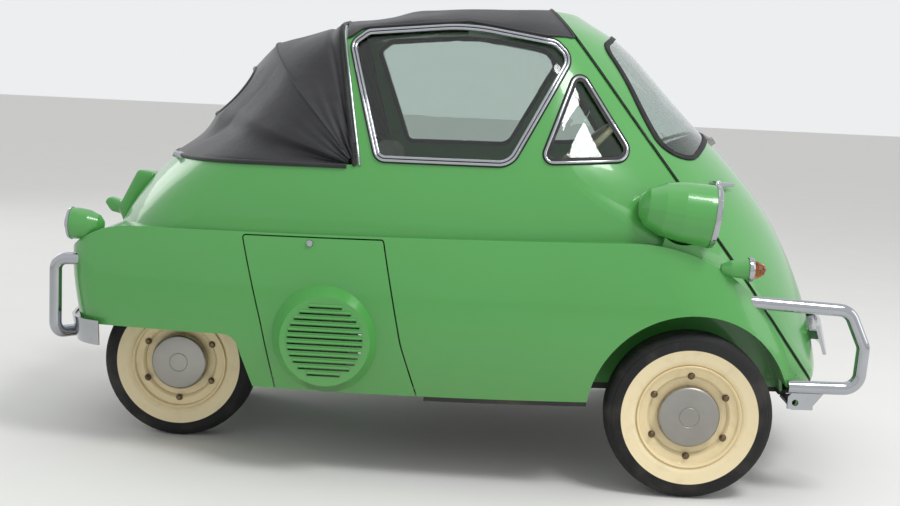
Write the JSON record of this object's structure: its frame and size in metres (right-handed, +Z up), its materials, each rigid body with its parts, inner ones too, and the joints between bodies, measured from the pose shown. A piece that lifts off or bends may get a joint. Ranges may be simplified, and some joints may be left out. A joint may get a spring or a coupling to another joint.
{
  "type": "bubble car",
  "caption": "Egg-shaped microcar with one front door that carries the steering column, a folding fabric roof, tube bumpers, steered front wheels and a close pair of rear wheels.",
  "frame": {"origin": "on the ground, on the middle plane, midway between the ends of the bumpers", "axes": "+X forward, +Y to the car's left, +Z up"},
  "size_m": [2.3517, 1.406, 1.3416],
  "materials": {
    "tyre_rubber": "matte",
    "body_paint": "gloss",
    "wheel_paint": "gloss",
    "plain_steel": "satin",
    "chassis_paint": "satin",
    "cast_metal": "rough",
    "soft_top": "grained",
    "chrome": "polished",
    "window_glass": "clear",
    "rear_pane": "clear",
    "clear_lens": "fluted",
    "amber_lens": "clear amber",
    "red_lens": "clear red",
    "black_rubber": "matte",
    "seat_fabric": "woven",
    "ivory": "gloss"
  },
  "bodies": {
    "body": {"body_shell": "body_paint", "chassis_frame": "chassis_paint", "engine_block": "cast_metal", "engine_bulkhead": "body_paint", "floor_pan": "chassis_paint", "front_bumper_guard_right": "chrome", "front_suspension_arms": "chassis_paint", "headlamp_lenses": "clear_lens", "headlamp_pods": "body_paint", "headlamp_rims": "chrome", "hood_fabric": "soft_top", "hood_rear_window": "rear_pane", "indicator_housings": "body_paint", "indicator_lenses": "amber_lens", "levers": "chassis_paint", "pedals": "black_rubber", "plate_lamp_housing": "body_paint", "rear_axle_case": "cast_metal", "rear_bumper_blade": "chrome", "rear_bumper_guards": "chrome", "rear_leaf_springs": "chassis_paint", "roof_fabric": "soft_top", "seat_back": "seat_fabric", "seat_base": "body_paint", "seat_cushion": "seat_fabric", "side_window_frames": "chrome", "side_window_glass": "window_glass", "tail_lamp_lenses": "red_lens", "tail_lamp_pods": "body_paint", "tail_lamp_rims": "chrome", "vent_window_frames": "chrome", "vent_window_glass": "window_glass"},
    "engine_cover": {"engine_cover": "body_paint"},
    "front_door": {"front_door": "body_paint", "windscreen_frame": "black_rubber", "windscreen_glass": "window_glass", "steering_column": "chassis_paint", "instrument_panel": "body_paint", "front_bumper_guard_left": "chrome", "door_bumper": "chrome", "door_handle": "chrome", "wiper": "chrome"},
    "steering_wheel": {"steering_wheel": "ivory"},
    "knuckle_right": {"knuckle_right": "chassis_paint"},
    "knuckle_left": {"knuckle_left": "chassis_paint"},
    "wheel_front_right": {"front_tyre_right": "tyre_rubber", "front_wheel_disc_right": "wheel_paint", "front_hub_cap_right": "plain_steel", "front_brake_drum_right": "cast_metal"},
    "wheel_front_left": {"front_tyre_left": "tyre_rubber", "front_wheel_disc_left": "wheel_paint", "front_hub_cap_left": "plain_steel", "front_brake_drum_left": "cast_metal"},
    "rear_wheels": {"rear_tyres": "tyre_rubber", "rear_wheel_discs": "wheel_paint", "rear_hub_caps": "plain_steel", "rear_brake_drums": "cast_metal", "rear_axle_shaft": "plain_steel"},
    "track_rod": {"track_rod": "chassis_paint"}
  },
  "joints": [
    {"name": "door_hinge", "type": "hinge", "parent": "body", "child": "front_door", "pos_m": [0.795, 0.566, 0.68], "axis": [0, 0, 1], "range_deg": [0, 80]},
    {"name": "engine_cover_hinge", "type": "hinge", "parent": "body", "child": "engine_cover", "pos_m": [-0.274, -0.62089, 0.272], "axis": [0.9922, -0.1244, 0], "range_deg": [0, 35]},
    {"name": "steering_wheel_turn", "type": "hinge", "parent": "front_door", "child": "steering_wheel", "pos_m": [0.366, 0.25, 0.871], "axis": [-0.682, 0, 0.7314], "range_deg": [-336, 336]},
    {"name": "steer_right", "type": "hinge", "parent": "body", "child": "knuckle_right", "pos_m": [0.683, -0.5, 0.232], "axis": [0, 0, 1], "range_deg": [-28, 28]},
    {"name": "steer_left", "type": "hinge", "parent": "body", "child": "knuckle_left", "pos_m": [0.683, 0.5, 0.232], "axis": [0, 0, 1], "range_deg": [-28, 28]},
    {"name": "track_rod_slide", "type": "slide", "parent": "body", "child": "track_rod", "axis": [0, 1, 0], "range_m": [-0.053, 0.053]},
    {"name": "front_right_spin", "type": "hinge", "parent": "knuckle_right", "child": "wheel_front_right", "pos_m": [0.683, -0.6, 0.232], "axis": [0, 1, 0], "continuous": true},
    {"name": "front_left_spin", "type": "hinge", "parent": "knuckle_left", "child": "wheel_front_left", "pos_m": [0.683, 0.6, 0.232], "axis": [0, 1, 0], "continuous": true},
    {"name": "rear_spin", "type": "hinge", "parent": "body", "child": "rear_wheels", "pos_m": [-0.817, 0, 0.232], "axis": [0, 1, 0], "continuous": true}
  ],
  "couplings": [
    {"joint": "steer_left", "follows": "steer_right", "ratio": 1},
    {"joint": "steering_wheel_turn", "follows": "steer_right", "ratio": 12},
    {"joint": "track_rod_slide", "follows": "steer_right", "m_per_rad": -0.108}
  ]
}
